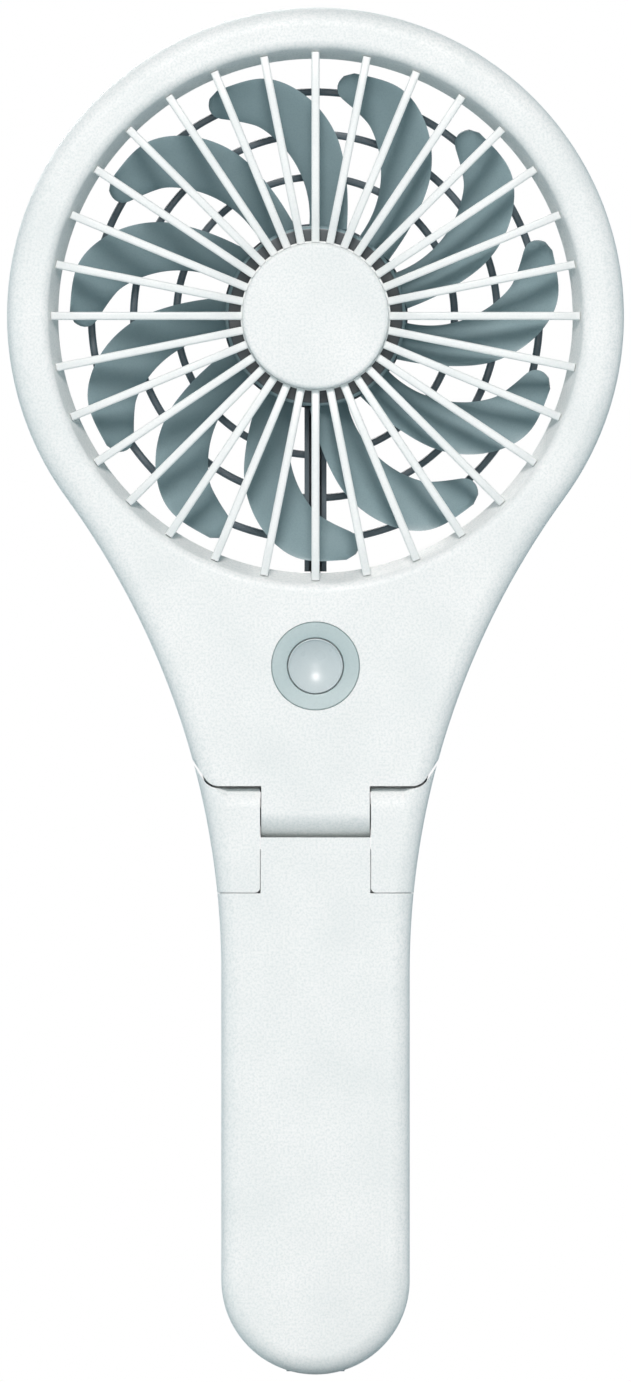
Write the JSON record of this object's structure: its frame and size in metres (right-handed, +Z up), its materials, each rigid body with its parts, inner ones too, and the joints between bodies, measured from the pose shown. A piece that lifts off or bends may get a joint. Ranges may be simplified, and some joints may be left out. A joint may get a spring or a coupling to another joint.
{
  "type": "handheld fan",
  "caption": "Folding handheld fan: round head with spoked grille and curved-blade impeller, hinged to a slim rechargeable handle.",
  "frame": {"origin": "under the middle of the handle's round end, at the bottom centre of the bounding box", "axes": "+Z up along the handle to the ring, +X to the right as seen from the front, front grille facing -Y"},
  "size_m": [0.095, 0.0252, 0.2105],
  "materials": {
    "white_shell": "fine spark-eroded texture",
    "white_button": "fine texture",
    "bezel_grey": "satin",
    "black_plastic": "moulded",
    "board_green": "solder mask",
    "led_white": "clear resin",
    "impeller_grey": "moulded satin",
    "motor_steel": "satin",
    "magnet_black": "bonded ferrite",
    "polished_steel": "ground",
    "copper_wire": "enamelled copper",
    "brass_tube": "turned",
    "sintered_bronze": "porous sintered bronze",
    "guard_grey": "moulded satin",
    "screw_steel": "zinc plated",
    "black_lead": "PVC sleeve",
    "pressed_steel": "pressed sheet",
    "washer_nylon": "nylon",
    "red_lead": "silicone sleeve",
    "cell_wrap": "shrink sleeve over a steel can",
    "black_foam": "closed-cell foam",
    "clear_pipe": "clear acrylic"
  },
  "bodies": {
    "head": {"head_front_shell": "white_shell", "head_rear_shell": "white_shell", "front_grille": "white_shell", "hub_cap": "white_shell", "button_bezel": "bezel_grey", "tact_switch": "black_plastic", "control_board": "board_green", "speed_leds": "led_white", "stator_core": "motor_steel", "stator_windings": "copper_wire", "bearing_tube": "brass_tube", "front_bush": "sintered_bronze", "rear_bush": "sintered_bronze", "motor_board": "board_green", "rear_guard": "guard_grey", "motor_screws": "screw_steel", "motor_lead": "black_lead", "head_screws": "screw_steel", "head_screw_plugs": "white_shell", "hinge_lead_upper": "red_lead"},
    "rotor": {"impeller": "impeller_grey", "rotor_cup": "motor_steel", "magnet_ring": "magnet_black", "motor_shaft": "polished_steel", "shaft_clip": "motor_steel"},
    "button": {"power_button": "white_button", "switch_plunger": "black_plastic"},
    "handle": {"handle_front_shell": "white_shell", "handle_rear_shell": "white_shell", "hinge_cover_left": "white_shell", "hinge_cover_right": "white_shell", "hinge_bracket_left": "pressed_steel", "hinge_bracket_right": "pressed_steel", "bracket_screws": "screw_steel", "hinge_pin": "polished_steel", "hinge_bush": "polished_steel", "friction_washers": "washer_nylon", "hinge_lead_lower": "red_lead", "battery_cell": "cell_wrap", "battery_cradle": "black_foam", "battery_leads": "red_lead", "charge_board": "board_green", "usb_socket": "pressed_steel", "charge_light_pipe": "clear_pipe", "handle_screws": "screw_steel"}
  },
  "joints": [
    {"name": "handle_fold", "type": "hinge", "parent": "head", "child": "handle", "pos_m": [0, 0.0082, 0.0859], "axis": [1, 0, 0], "range_deg": [0, 180]},
    {"name": "rotor_spin", "type": "hinge", "parent": "head", "child": "rotor", "pos_m": [0, -0.0046, 0.163], "axis": [0, 1, 0], "continuous": true},
    {"name": "button_press", "type": "slide", "parent": "head", "child": "button", "axis": [0, 1, 0], "range_m": [0, 0.0005], "stiffness_N_per_m": 1500}
  ]
}
